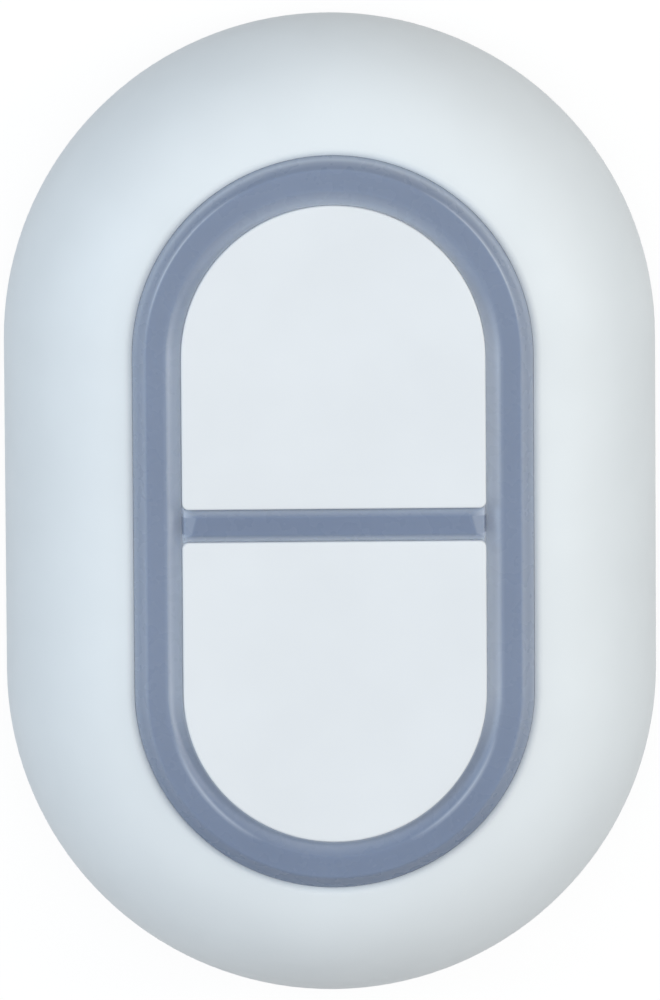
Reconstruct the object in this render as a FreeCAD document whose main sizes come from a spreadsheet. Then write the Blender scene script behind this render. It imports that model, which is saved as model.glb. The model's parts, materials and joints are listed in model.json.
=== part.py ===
import FreeCAD, Part
import math
import os

import Sketcher

# Two-button panic transmitter, lying on its back. Millimetres. +Z is the side with the
# buttons, +Y is the end with the upper button, and the origin is the centre of the back.

SIZES = {
    # Outer shell, a stadium in plan
    "body_radius": 20.0,
    "body_straight": 20.4,
    "wall": 2.4,
    "parting_height": 4.0,
    "back_bevel": 1.0,
    "side_arc_radius": 12.5,
    "side_arc_angle": 35.0,
    "shoulder_radius": 9.4,
    "opening_radius": 12.2,
    "rim_chamfer": 0.15,
    "parting_chamfer": 0.25,
    "roof_bevel": 1.0,
    "ledge_width": 1.3,
    "ledge_thickness": 1.6,
    # Light ring
    "ring_gap": 0.05,
    "ring_sink": 2.3,
    "ring_rise": 0.95,
    "ring_width": 2.94,
    "ridge_inset": 0.8,
    "ridge_width": 1.3,
    "ring_inner_rise": 0.45,
    "bar_width": 2.06,
    "bar_bevel": 0.42,
    "bar_rise": 1.45,
    "ramp_gap": 0.16,
    "ramp_length": 0.9,
    # Buttons
    "button_gap": 0.06,
    "button_rise": 1.4,
    "crown_drop": 0.5,
    "button_wall": 1.1,
    "button_roof": 1.5,
    "button_corner": 0.4,
    "button_bevel": 0.25,
    "tab_reach": 0.6,
    "tab_thickness": 0.8,
    "tab_gap": 0.1,
    "tab_length": 5.0,
    "post_width": 3.6,
    "post_web": 0.9,
    "travel": 0.6,
    "switch_inset": 0.6,
    # Membrane, a sheet with a square boot over each switch
    "membrane_thickness": 0.4,
    "boot_width": 9.0,
    # Board and what it carries
    "board_thickness": 1.0,
    "board_gap": 0.2,
    "board_inset": 2.0,
    "board_end_gap": 0.6,
    "switch_width": 6.0,
    "switch_body": 1.6,
    "switch_floor": 0.5,
    "switch_cover_thickness": 0.3,
    "plunger_radius": 1.75,
    "plunger_gap": 0.08,
    "lead_length": 0.9,
    "lead_width": 0.7,
    "lead_thickness": 0.25,
    "lead_pitch": 4.5,
    "led_length": 1.4,
    "led_width": 0.8,
    "led_height": 0.65,
    "led_inset": 0.1,
    "led_spacing": 4.4,
    "led_gap": 0.15,
    "chip_width": 5.0,
    "chip_height": 0.9,
    "chip_gap": 0.7,
    "crystal_length": 3.2,
    "crystal_width": 2.5,
    "crystal_height": 0.8,
    "crystal_offset": 5.2,
    "passive_length": 1.0,
    "passive_width": 0.5,
    "passive_pitch": 1.5,
    "passive_row": 3.2,
    "antenna_length": 16.0,
    "antenna_inset": 8.8,
    "antenna_thickness": 0.4,
    "antenna_height": 2.3,
    "antenna_foot": 1.2,
    # Cell and its contacts
    "cell_radius": 12.25,
    "cell_thickness": 5.0,
    "cell_gap": 0.45,
    "holder_wall": 0.9,
    "holder_rise": 0.4,
    "pad_width": 14.0,
    "pad_thickness": 0.6,
    "contact_gap": 0.05,
    "contact_thickness": 0.25,
    "contact_width": 4.0,
    # Rear cover and the screws
    "floor": 2.4,
    "lip_height": 1.2,
    "lip_wall": 0.9,
    "lip_gap": 0.2,
    "rib_thickness": 1.2,
    "rib_gap": 0.1,
    "rib_inset": 4.2,
    "screw_shank": 0.95,
    "screw_head": 1.8,
    "screw_head_height": 1.2,
    "screw_sink": 0.2,
    "screw_length": 9.0,
    "screw_clearance": 0.1,
    "thread_gap": 0.05,
    "boss_radius": 1.85,
    "boss_gap": 0.15,
    # Lanyard bar at the upper end of the back
    "lanyard_width": 5.0,
    "lanyard_height": 1.3,
    "lanyard_start": 13.4,
    "lanyard_mouth": 2.4,
    "lanyard_bar": 1.3,
    "lanyard_wall": 1.6,
}

# Sizes worked out from the driving ones: heights are measured from the back.
DERIVED = {
    "half": "size.body_straight / 2",
    "side_x": "size.body_radius - size.side_arc_radius",
    "join_x": "side_x + size.side_arc_radius * cos(size.side_arc_angle)",
    "join_z": "size.parting_height + size.side_arc_radius * sin(size.side_arc_angle)",
    "shoulder_x": "join_x - size.shoulder_radius * cos(size.side_arc_angle)",
    "shoulder_z": "join_z - size.shoulder_radius * sin(size.side_arc_angle)",
    "rim": "shoulder_z + sqrt(size.shoulder_radius ^ 2 - (size.opening_radius - shoulder_x) ^ 2)",
    "crest_x": "size.opening_radius + size.rim_chamfer",
    "crest_z": "shoulder_z + sqrt(size.shoulder_radius ^ 2 - (crest_x - shoulder_x) ^ 2)",
    "seat": "rim - size.ring_sink",
    "ledge_inner": "size.opening_radius - size.ledge_width",
    "ledge_low": "seat - size.ledge_thickness",
    "inside": "size.body_radius - size.wall",
    "rear_outer": "size.body_radius - size.parting_chamfer",
    "ridge": "rim + size.ring_rise",
    "bar_top": "rim + size.bar_rise",
    "ridge_outer": "size.opening_radius - size.ridge_inset",
    "ridge_inner": "ridge_outer - size.ridge_width",
    "ring_inner": "size.opening_radius - size.ring_width",
    "ramp_end": "ring_inner - size.ramp_gap",
    "ramp_start": "ramp_end - size.ramp_length",
    "ring_inner_top": "rim + size.ring_inner_rise",
    "button_radius": "ring_inner - size.button_gap",
    "button_top": "rim + size.button_rise",
    "button_side": "size.bar_width / 2 + size.button_gap",
    "button_end": "half + button_radius",
    "crown_radius": "button_end ^ 2 / (2 * size.crown_drop)",
    "button_roof_under": "button_top - size.crown_drop - size.button_roof",
    "tab_top": "seat - size.tab_gap",
    "tab_bottom": "tab_top - size.tab_thickness",
    "switch_offset": "half - size.switch_inset",
    "board_top": "ledge_low - size.membrane_thickness",
    "board_low": "board_top - size.board_thickness",
    "cover_top": "board_top + size.switch_body + size.switch_cover_thickness",
    "plunger_top": "cover_top + size.travel",
    "plunger_low": "board_top + size.switch_floor + size.travel + size.contact_gap",
    "boot_top": "plunger_top + size.membrane_thickness",
    "cell_low": "size.floor + size.pad_thickness",
    "cell_high": "cell_low + size.cell_thickness",
    "holder_inner": "size.cell_radius + size.cell_gap",
    "holder_outer": "holder_inner + size.holder_wall",
    "holder_low": "cell_low + size.holder_rise",
    "lip_outer": "inside - size.lip_gap",
    "lip_inner": "lip_outer - size.lip_wall",
    "screw_circle": "lip_inner - size.boss_gap - size.boss_radius",
    "screw_x": "screw_circle * cos(45)",
    "screw_y": "half + screw_circle * sin(45)",
    "board_corner": "screw_circle - size.boss_radius - size.board_gap",
    "board_half_width": "inside - size.board_inset",
    "board_end": "board_half_width - size.board_end_gap",
    "membrane_reach": "board_corner - size.board_gap",
    "led_offset": "ledge_inner - size.led_inset - size.led_length / 2",
    "chip_offset": "holder_outer + size.chip_gap + size.passive_row + size.passive_length / 2",
    "antenna_offset": "half + board_end - size.antenna_inset",
    "rib_y": "half - size.rib_inset",
    "head_seat": "size.screw_sink + size.screw_head_height",
    "screw_tip": "head_seat + size.screw_length",
    "lanyard_y": "half + size.lanyard_start",
}


def make_sheet(doc):
    """Writes the driving dimensions to a spreadsheet, one aliased row each."""
    sheet = doc.addObject("Spreadsheet::Sheet", "size")
    for row, (name, number) in enumerate(SIZES.items(), start=1):
        sheet.set(f"A{row}", name)
        sheet.set(f"B{row}", str(number))
        sheet.setAlias(f"B{row}", name)
    doc.recompute()
    return sheet


def make_levels(doc):
    """Adds the derived sizes as properties that follow the spreadsheet."""
    level = doc.addObject("App::VarSet", "level")
    for name, formula in DERIVED.items():
        level.addProperty("App::PropertyFloat", name)
        level.setExpression(name, formula)
    doc.recompute()
    return level


class Piece:
    """One moulded, stamped or turned piece, built as a body from bound sketches."""

    def __init__(self, doc, name):
        self.doc = doc
        self.body = doc.addObject("PartDesign::Body", name)
        self.body.Label = name
        self.count = 0

    def value(self, formula):
        """Works out a formula of the named sizes."""
        return float(self.doc.getObject("level").evalExpression(formula))

    def plane(self, role):
        """Finds one of the body's own origin planes."""
        return next(f for f in self.body.Origin.OriginFeatures if f.Role == role)

    def new_name(self, word):
        self.count += 1
        return f"{self.body.Name}_{word}_{self.count}"

    def sketch(self, role, lift):
        """Starts a sketch on an origin plane, moved along the plane's normal by lift."""
        sketch = self.body.newObject("Sketcher::SketchObject", self.new_name("sketch"))
        sketch.AttachmentSupport = (self.plane(role), "")
        sketch.MapMode = "FlatFace"
        sketch.setExpression(".AttachmentOffset.Base.z", lift)
        return sketch

    def hold(self, sketch, kind, geometry, point, formula):
        """Holds one coordinate of a sketch point at the value of a formula."""
        number = sketch.addConstraint(
            Sketcher.Constraint(kind, -1, 1, geometry, point, self.value(formula)))
        sketch.setExpression(f"Constraints[{number}]", formula)

    def outline(self, sketch, path):
        """Draws a closed outline from points (x, y) and arcs ("arc", cx, cy, turn, held).

        An arc lies between the point before it and the one after it. turn is 1 to the
        left and -1 to the right, and held is the coordinate that fixes the arc's end.
        """
        points = [step for step in path if step[0] != "arc"]
        arcs = {}
        for place, step in enumerate(path):
            if step[0] == "arc":
                arcs[len([p for p in path[:place] if p[0] != "arc"]) - 1] = step
        count = len(points)
        spots = [FreeCAD.Vector(self.value(x), self.value(y), 0) for x, y in points]
        ends = []
        for i in range(count):
            start, end = spots[i], spots[(i + 1) % count]
            if i in arcs:
                ends.append(self.add_arc(sketch, arcs[i], start, end))
            else:
                sketch.addGeometry(Part.LineSegment(start, end))
                ends.append((1, 2))
        for i in range(count):
            after = (i + 1) % count
            sketch.addConstraint(
                Sketcher.Constraint("Coincident", i, ends[i][1], after, ends[after][0]))
        for i in range(count):
            arc = arcs.get(i - 1 if i else count - 1)
            held = arc[4] if arc else "xy"
            if "x" in held:
                self.hold(sketch, "DistanceX", i, ends[i][0], points[i][0])
            if "y" in held:
                self.hold(sketch, "DistanceY", i, ends[i][0], points[i][1])
        return sketch

    def add_arc(self, sketch, arc, start, end):
        """Adds an arc about a bound centre; returns its start and end point numbers."""
        centre = FreeCAD.Vector(self.value(arc[1]), self.value(arc[2]), 0)
        first, last = (start, end) if arc[3] > 0 else (end, start)
        circle = Part.Circle(centre, FreeCAD.Vector(0, 0, 1), (start - centre).Length)
        low = math.atan2(first.y - centre.y, first.x - centre.x)
        high = math.atan2(last.y - centre.y, last.x - centre.x)
        if high < low:
            high += 2 * math.pi
        number = sketch.addGeometry(Part.ArcOfCircle(circle, low, high))
        self.hold(sketch, "DistanceX", number, 3, arc[1])
        self.hold(sketch, "DistanceY", number, 3, arc[2])
        return (1, 2) if arc[3] > 0 else (2, 1)

    def circles(self, sketch, places, radius):
        """Draws circles of one bound radius at bound places."""
        for x, y in places:
            centre = FreeCAD.Vector(self.value(x), self.value(y), 0)
            circle = Part.Circle(centre, FreeCAD.Vector(0, 0, 1), self.value(radius))
            number = sketch.addGeometry(circle)
            self.hold(sketch, "DistanceX", number, 3, x)
            self.hold(sketch, "DistanceY", number, 3, y)
            bound = sketch.addConstraint(
                Sketcher.Constraint("Radius", number, self.value(radius)))
            sketch.setExpression(f"Constraints[{bound}]", radius)
        return sketch

    def finish(self, feature):
        """Recomputes and checks the feature that was just set up."""
        self.doc.recompute()
        if feature.Shape.isNull() or not feature.Shape.isValid():
            raise ValueError(f"{feature.Name} has no valid shape")
        return feature

    def grow(self, sketch, length, back=False, middle=False):
        """Pads a sketch along its normal, against it, or half each way."""
        pad = self.body.newObject("PartDesign::Pad", self.new_name("pad"))
        pad.Profile = sketch
        pad.setExpression("Length", length)
        pad.Reversed = back
        pad.Midplane = middle
        return self.finish(pad)

    def cut(self, sketch, length, back=False, middle=False):
        """Pockets a sketch along its normal, against it, or half each way."""
        before = self.body.Shape.Volume
        pocket = self.body.newObject("PartDesign::Pocket", self.new_name("pocket"))
        pocket.Profile = sketch
        pocket.setExpression("Length", length)
        pocket.Reversed = not back
        pocket.Midplane = middle
        self.finish(pocket)
        if pocket.Shape.Volume >= before - 1e-6:
            raise ValueError(f"{pocket.Name} cuts nothing")
        return pocket

    def revolve(self, sketch, angle):
        """Turns a profile about the sketch's upright axis."""
        turned = self.body.newObject("PartDesign::Revolution", self.new_name("turned"))
        turned.Profile = sketch
        turned.ReferenceAxis = (sketch, ["V_Axis"])
        turned.Angle = angle
        return self.finish(turned)

    def mirror(self, role):
        """Mirrors the whole body so far across one of its origin planes."""
        mirrored = self.body.newObject("PartDesign::Mirrored", self.new_name("mirrored"))
        mirrored.TransformMode = "Whole shape"
        mirrored.MirrorPlane = (self.plane(role), [""])
        self.body.Tip = mirrored
        return self.finish(mirrored)

    def quarter(self, path):
        """Sweeps a profile round a quarter of the stadium, its end and half its side."""
        end = self.outline(self.sketch("XZ_Plane", "-level.half"), path)
        self.revolve(end, 90)
        side = self.outline(self.sketch("XZ_Plane", "0"), path)
        self.grow(side, "level.half", back=True)

    def mirror_twice(self):
        """Completes a quarter across both of the object's upright middle planes."""
        self.mirror("YZ_Plane")
        self.mirror("XZ_Plane")

    def edges(self, test):
        """Names the edges whose ends and middle all pass a test of x, y and z."""
        names = []
        for number, edge in enumerate(self.body.Shape.Edges, start=1):
            low, high = edge.ParameterRange
            spots = [edge.valueAt(low), edge.valueAt((low + high) / 2), edge.valueAt(high)]
            if all(test(abs(p.x), p.y, p.z) for p in spots):
                names.append(f"Edge{number}")
        return names

    def dress(self, kind, names, size):
        """Rounds or bevels the named edges of the body so far."""
        base = self.body.Tip
        dressed = self.body.newObject(f"PartDesign::{kind}", self.new_name(kind.lower()))
        dressed.Base = (base, names)
        dressed.setExpression("Radius" if kind == "Fillet" else "Size", size)
        return self.finish(dressed)


def box_path(x_low, x_high, y_low, y_high):
    """A rectangle as an outline."""
    return [(x_low, y_low), (x_high, y_low), (x_high, y_high), (x_low, y_high)]


def stadium_path(radius):
    """A stadium about the object's long axis, as an outline."""
    return [
        (radius, "-level.half"),
        (radius, "level.half"),
        ("arc", "0", "level.half", 1, "y"),
        (f"-({radius})", "level.half"),
        (f"-({radius})", "-level.half"),
        ("arc", "0", "-level.half", 1, "y"),
    ]


def eight_sided_path(wide, end, corner):
    """A long eight-sided outline: its half width, and how far its ends and corners reach.

    The ends and the corners are measured from the centres of the stadium's end arcs.
    """
    shoulder = f"level.half + {corner} * sqrt(2) - {wide}"
    tip = f"{corner} * sqrt(2) - {end}"
    return [
        (wide, f"-({shoulder})"),
        (wide, shoulder),
        (tip, f"level.half + {end}"),
        (f"-({tip})", f"level.half + {end}"),
        (f"-{wide}", shoulder),
        (f"-{wide}", f"-({shoulder})"),
        (f"-({tip})", f"-(level.half + {end})"),
        (tip, f"-(level.half + {end})"),
    ]


def near(a, b, slack=0.01):
    return abs(a - b) < slack


def box_about(x, y, length, width):
    """A rectangle about a middle point as an outline."""
    return box_path(f"{x} - {length} / 2", f"{x} + {length} / 2",
                    f"{y} - {width} / 2", f"{y} + {width} / 2")


def screw_places():
    """The places of the two cover screws, at opposite corners."""
    return [("level.screw_x", "level.screw_y"), ("-level.screw_x", "-level.screw_y")]


def front_housing(doc):
    """Domed shell with the ledge under the ring and the two screw bosses."""
    piece = Piece(doc, "front_housing")
    piece.quarter([
        ("level.rear_outer", "size.parting_height"),
        ("level.side_x + sqrt(size.side_arc_radius ^ 2 - size.parting_chamfer ^ 2)",
         "size.parting_height + size.parting_chamfer"),
        ("arc", "level.side_x", "size.parting_height", 1, "y"),
        ("level.join_x", "level.join_z"),
        ("arc", "level.shoulder_x", "level.shoulder_z", 1, "x"),
        ("level.crest_x", "level.crest_z"),
        ("size.opening_radius", "level.crest_z - size.rim_chamfer"),
        ("size.opening_radius", "level.seat"),
        ("level.ledge_inner", "level.seat"),
        ("level.ledge_inner", "level.ledge_low"),
        ("level.inside - size.roof_bevel", "level.ledge_low"),
        ("level.inside", "level.ledge_low - size.roof_bevel"),
        ("level.inside", "size.parting_height"),
    ])
    piece.mirror_twice()
    bosses = piece.circles(
        piece.sketch("XY_Plane", "size.floor"), screw_places(), "size.boss_radius")
    piece.grow(bosses, "level.ledge_low - size.floor + size.ledge_thickness / 2")
    pilots = piece.circles(
        piece.sketch("XY_Plane", "size.floor"), screw_places(),
        "size.screw_shank + size.thread_gap")
    piece.cut(pilots, "level.screw_tip - size.floor + size.screw_clearance")
    return piece


def light_ring(doc):
    """Raised translucent ring on the ledge, and the bar in the same moulding."""
    piece = Piece(doc, "light_ring")
    piece.quarter([
        ("level.ring_inner", "level.ring_inner_top"),
        ("level.ring_inner", "level.seat"),
        ("size.opening_radius - size.ring_gap", "level.seat"),
        ("size.opening_radius - size.ring_gap", "level.rim - size.ring_gap"),
        ("level.ridge_outer", "level.ridge"),
        ("level.ridge_inner", "level.ridge"),
    ])
    piece.mirror_twice()
    reach = "level.ring_inner + size.ledge_width / 2"
    saddle = "level.ring_inner_top"
    bar = piece.outline(piece.sketch("XZ_Plane", "0"), [
        (f"-({reach})", "level.seat"),
        (reach, "level.seat"),
        (reach, "level.rim"),
        ("level.ring_inner", saddle),
        ("level.ramp_end", saddle),
        ("level.ramp_start", "level.bar_top"),
        ("-level.ramp_start", "level.bar_top"),
        ("-level.ramp_end", saddle),
        ("-level.ring_inner", saddle),
        (f"-({reach})", "level.rim"),
    ])
    piece.grow(bar, "size.bar_width", middle=True)
    top = piece.value("level.bar_top")
    side = piece.value("size.bar_width / 2")
    crest = piece.edges(lambda x, y, z: near(z, top) and near(abs(y), side))
    piece.dress("Chamfer", crest, "size.bar_bevel")
    return piece


def button_path(radius, side):
    """Half of a stadium beyond the bar, as an outline."""
    return [
        (radius, side),
        (radius, "level.half"),
        ("arc", "0", "level.half", 1, "y"),
        (f"-({radius})", "level.half"),
        (f"-({radius})", side),
    ]


def button(doc, name, half_turn):
    """Hollow crowned key with three retaining tabs and a cross-shaped post over its switch."""
    piece = Piece(doc, name)
    plan = piece.outline(
        piece.sketch("XY_Plane", "level.tab_bottom"),
        button_path("level.button_radius", "level.button_side"))
    piece.grow(plan, "level.button_top - level.tab_bottom")
    sky = piece.outline(piece.sketch("YZ_Plane", "0"), [
        ("0", "level.button_top"),
        ("arc", "0", "level.button_top - level.crown_radius", -1, "x"),
        ("level.button_end + size.wall", "level.button_top - size.crown_drop"),
        ("level.button_end + size.wall", "level.button_top + size.wall"),
        ("0", "level.button_top + size.wall"),
    ])
    piece.cut(sky, "2 * size.body_radius", middle=True)
    wide = piece.value("level.button_radius")
    side = piece.value("level.button_side")
    edge = piece.value("level.button_top - 2 * size.crown_drop")
    corners = piece.edges(lambda x, y, z: near(x, wide) and near(y, side))
    piece.dress("Fillet", corners, "size.button_corner")
    piece.dress("Chamfer", piece.edges(lambda x, y, z: z > edge), "size.button_bevel")
    hollow = piece.outline(
        piece.sketch("XY_Plane", "level.tab_bottom"),
        button_path("level.button_radius - size.button_wall", "level.button_side + size.button_wall"))
    piece.cut(hollow, "level.button_roof_under - level.tab_bottom")
    root = "level.button_radius - size.button_wall / 2"
    tip = "level.button_radius + size.tab_reach"
    for path in (
            box_path(root, tip, "level.half - size.tab_length", "level.half"),
            box_path(f"-({tip})", f"-({root})", "level.half - size.tab_length", "level.half"),
            box_path("-size.tab_length / 2", "size.tab_length / 2",
                     f"level.half + {root}", f"level.half + {tip}")):
        tab = piece.outline(piece.sketch("XY_Plane", "level.tab_bottom"), path)
        piece.grow(tab, "size.tab_thickness")
    for length, width in (("size.post_width", "size.post_web"), ("size.post_web", "size.post_width")):
        web = piece.outline(
            piece.sketch("XY_Plane", "level.boot_top"),
            box_about("0", "level.switch_offset", length, width))
        piece.grow(web, "level.button_roof_under - level.boot_top + size.button_roof / 2")
    if half_turn:
        piece.body.Placement = FreeCAD.Placement(
            FreeCAD.Vector(), FreeCAD.Rotation(FreeCAD.Vector(0, 0, 1), 180))
    return piece


def button_membrane(doc):
    """Silicone sheet between the board and the ledge, with a hollow boot over each switch."""
    piece = Piece(doc, "button_membrane")
    reach = "level.membrane_reach"
    sheet = piece.outline(
        piece.sketch("XY_Plane", "level.board_top"), eight_sided_path(reach, reach, reach))
    piece.grow(sheet, "size.membrane_thickness")
    for y in ("level.switch_offset", "-level.switch_offset"):
        boot = piece.outline(
            piece.sketch("XY_Plane", "level.board_top"),
            box_about("0", y, "size.boot_width", "size.boot_width"))
        piece.grow(boot, "level.boot_top - level.board_top")
        inner = "(size.boot_width - 2 * size.membrane_thickness)"
        hollow = piece.outline(
            piece.sketch("XY_Plane", "level.board_top"), box_about("0", y, inner, inner))
        piece.cut(hollow, "level.plunger_top - level.board_top")
    for x in ("level.led_offset", "-level.led_offset"):
        for y in ("size.led_spacing / 2", "-size.led_spacing / 2"):
            window = piece.outline(
                piece.sketch("XY_Plane", "level.board_top"),
                box_about(x, y, "(size.led_length + 2 * size.led_gap)",
                          "(size.led_width + 2 * size.led_gap)"))
            piece.cut(window, "size.membrane_thickness")
    return piece


def main_board(doc):
    """Eight-sided board that fills the housing between the screw bosses."""
    piece = Piece(doc, "main_board")
    plan = piece.outline(piece.sketch("XY_Plane", "level.board_low"), eight_sided_path(
        "level.board_half_width", "level.board_end", "level.board_corner"))
    piece.grow(plan, "size.board_thickness")
    return piece


def stand_at(piece, y):
    """Stands a piece that is built at the origin on the board at a place along Y."""
    piece.body.setExpression(".Placement.Base.y", y)
    piece.body.setExpression(".Placement.Base.z", "level.board_top")
    return piece


def switch_square():
    return box_about("0", "0", "size.switch_width", "size.switch_width")


def switch_base(doc, name, y):
    """Square moulded base with the round well of the plunger."""
    piece = Piece(doc, name)
    plan = piece.outline(piece.sketch("XY_Plane", "0"), switch_square())
    piece.grow(plan, "size.switch_body")
    well = piece.circles(
        piece.sketch("XY_Plane", "size.switch_floor"), [("0", "0")],
        "size.plunger_radius + size.plunger_gap")
    piece.cut(well, "size.switch_body - size.switch_floor")
    return stand_at(piece, y)


def switch_cover(doc, name, y):
    """Stamped steel cover with the plunger's hole."""
    piece = Piece(doc, name)
    plan = piece.outline(piece.sketch("XY_Plane", "size.switch_body"), switch_square())
    piece.grow(plan, "size.switch_cover_thickness")
    hole = piece.circles(
        piece.sketch("XY_Plane", "size.switch_body"), [("0", "0")],
        "size.plunger_radius + size.plunger_gap")
    piece.cut(hole, "size.switch_cover_thickness")
    return stand_at(piece, y)


def switch_plunger(doc, name, y):
    """Round plunger that slides in the base's well."""
    piece = Piece(doc, name)
    disc = piece.circles(
        piece.sketch("XY_Plane", "level.plunger_low - level.board_top"), [("0", "0")],
        "size.plunger_radius")
    piece.grow(disc, "level.plunger_top - level.plunger_low")
    return stand_at(piece, y)


def switch_leads(doc):
    """Four flat leads at each switch, soldered to the board."""
    piece = Piece(doc, "switch_leads")
    for side in ("+", "-"):
        lead = piece.outline(piece.sketch("XY_Plane", "level.board_top"), box_about(
            "(size.switch_width + size.lead_length) / 2",
            f"(level.switch_offset {side} size.lead_pitch / 2)",
            "size.lead_length", "size.lead_width"))
        piece.grow(lead, "size.lead_thickness")
    piece.mirror_twice()
    return piece


def status_leds(doc):
    """Four small lamps on the board, under the sides of the light ring."""
    piece = Piece(doc, "status_leds")
    lamp = piece.outline(piece.sketch("XY_Plane", "level.board_top"), box_about(
        "level.led_offset", "size.led_spacing / 2", "size.led_length", "size.led_width"))
    piece.grow(lamp, "size.led_height")
    piece.mirror_twice()
    return piece


def radio_chip(doc):
    """Square radio package under the board's lower end."""
    piece = Piece(doc, "radio_chip")
    plan = piece.outline(piece.sketch("XY_Plane", "level.board_low"), box_about(
        "0", "-level.chip_offset", "size.chip_width", "size.chip_width"))
    piece.grow(plan, "size.chip_height", back=True)
    return piece


def crystal(doc):
    """Metal-lidded crystal beside the radio."""
    piece = Piece(doc, "crystal")
    plan = piece.outline(piece.sketch("XY_Plane", "level.board_low"), box_about(
        "size.crystal_offset", "-level.chip_offset", "size.crystal_length", "size.crystal_width"))
    piece.grow(plan, "size.crystal_height", back=True)
    return piece


def board_passives(doc):
    """Two rows of small capacitors and resistors, above and below the radio."""
    piece = Piece(doc, "board_passives")
    for row in ("+", "-"):
        for place in ("size.passive_pitch / 2", "size.passive_pitch * 3 / 2"):
            part = piece.outline(piece.sketch("XY_Plane", "level.board_low"), box_about(
                place, f"(-level.chip_offset {row} size.passive_row)",
                "size.passive_width", "size.passive_length"))
            piece.grow(part, "size.passive_width", back=True)
    piece.mirror("YZ_Plane")
    return piece


def antenna(doc):
    """Stamped strip on edge under the board's upper end, on two feet."""
    piece = Piece(doc, "antenna")
    wide = "size.antenna_length / 2"
    inner = "size.antenna_length / 2 - size.antenna_foot"
    strip = piece.outline(piece.sketch("XZ_Plane", "-level.antenna_offset"), [
        (f"-{wide}", "level.board_low - size.antenna_height"),
        (wide, "level.board_low - size.antenna_height"),
        (wide, "level.board_low"),
        (inner, "level.board_low"),
        (inner, "level.board_low - size.antenna_height / 2"),
        (f"-({inner})", "level.board_low - size.antenna_height / 2"),
        (f"-({inner})", "level.board_low"),
        (f"-{wide}", "level.board_low"),
    ])
    piece.grow(strip, "size.antenna_thickness", middle=True)
    return piece


def coin_cell(doc):
    """Round coin cell on the foam."""
    piece = Piece(doc, "coin_cell")
    disc = piece.circles(
        piece.sketch("XY_Plane", "level.cell_low"), [("0", "0")], "size.cell_radius")
    piece.grow(disc, "size.cell_thickness")
    return piece


def cell_holder(doc):
    """Square frame under the board that keeps the cell centred."""
    piece = Piece(doc, "cell_holder")
    outer = "(2 * level.holder_outer)"
    inner = "(2 * level.holder_inner)"
    frame = piece.outline(
        piece.sketch("XY_Plane", "level.holder_low"), box_about("0", "0", outer, outer))
    piece.grow(frame, "level.board_low - level.holder_low")
    opening = piece.outline(
        piece.sketch("XY_Plane", "level.holder_low"), box_about("0", "0", inner, inner))
    piece.cut(opening, "level.board_low - level.holder_low")
    return piece


def positive_contact(doc):
    """Bent strip from the board to the side of the cell's can."""
    piece = Piece(doc, "positive_contact")
    face = "(size.cell_radius + size.contact_gap)"
    thick = "size.contact_thickness"
    profile = piece.outline(piece.sketch("XZ_Plane", "0"), [
        (face, "level.cell_low + size.cell_thickness / 4"),
        (f"{face} + {thick}", "level.cell_low + size.cell_thickness / 4"),
        (f"{face} + {thick}", "level.board_low"),
        (f"{face} - size.contact_width / 2", "level.board_low"),
        (f"{face} - size.contact_width / 2", f"level.board_low - {thick}"),
        (face, f"level.board_low - {thick}"),
    ])
    piece.grow(profile, "size.contact_width", middle=True)
    return piece


def negative_contact(doc):
    """Leaf spring between the board and the cell's upper face."""
    piece = Piece(doc, "negative_contact")
    foot = "size.contact_width / 2"
    reach = "size.cell_radius / 2"
    thick = "size.contact_thickness"
    profile = piece.outline(piece.sketch("XZ_Plane", "0"), [
        ("0", "level.board_low"),
        ("0", f"level.board_low - {thick}"),
        (foot, f"level.board_low - {thick}"),
        (reach, "level.cell_high"),
        (f"{reach} + {foot}", "level.cell_high"),
        (f"{reach} + {foot}", f"level.cell_high + {thick}"),
        (reach, f"level.cell_high + {thick}"),
        (f"{foot} + {thick} / 2", "level.board_low"),
    ])
    piece.grow(profile, "size.contact_width", middle=True)
    piece.mirror("YZ_Plane")
    return piece


def cell_pad(doc):
    """Square of foam between the rear cover and the cell."""
    piece = Piece(doc, "cell_pad")
    pad = piece.outline(
        piece.sketch("XY_Plane", "size.floor"),
        box_about("0", "0", "size.pad_width", "size.pad_width"))
    piece.grow(pad, "size.pad_thickness")
    return piece


def rear_cover(doc):
    """Back shell: pocket, two tongues, ribs under the board, screw holes and a lanyard bar."""
    piece = Piece(doc, "rear_cover")
    piece.quarter([
        ("0", "0"),
        ("level.rear_outer - size.back_bevel", "0"),
        ("level.rear_outer", "size.back_bevel"),
        ("level.rear_outer", "size.parting_height"),
        ("0", "size.parting_height"),
    ])
    pocket = piece.outline(piece.sketch("XY_Plane", "size.floor"), eight_sided_path(
        "level.lip_inner", "level.lip_inner", "level.lip_inner"))
    piece.cut(pocket, "size.parting_height - size.floor")
    tongue = piece.outline(piece.sketch("XY_Plane", "size.floor / 2"), box_path(
        "level.lip_inner", "level.lip_outer", "0", "level.half"))
    piece.grow(tongue, "size.parting_height + size.lip_height - size.floor / 2")
    rib = piece.outline(piece.sketch("XY_Plane", "size.floor / 2"), box_path(
        "level.holder_outer + size.rib_gap", "level.lip_inner + size.lip_wall / 2",
        "level.rib_y", "level.rib_y + size.rib_thickness"))
    piece.grow(rib, "level.board_low - size.floor / 2")
    piece.mirror_twice()
    lanyard_block(piece)
    heads = piece.circles(
        piece.sketch("XY_Plane", "0"), screw_places(), "size.screw_head + size.screw_clearance")
    piece.cut(heads, "level.head_seat")
    shanks = piece.circles(
        piece.sketch("XY_Plane", "0"), screw_places(), "size.screw_shank + size.screw_clearance")
    piece.cut(shanks, "size.floor")
    return piece


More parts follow.
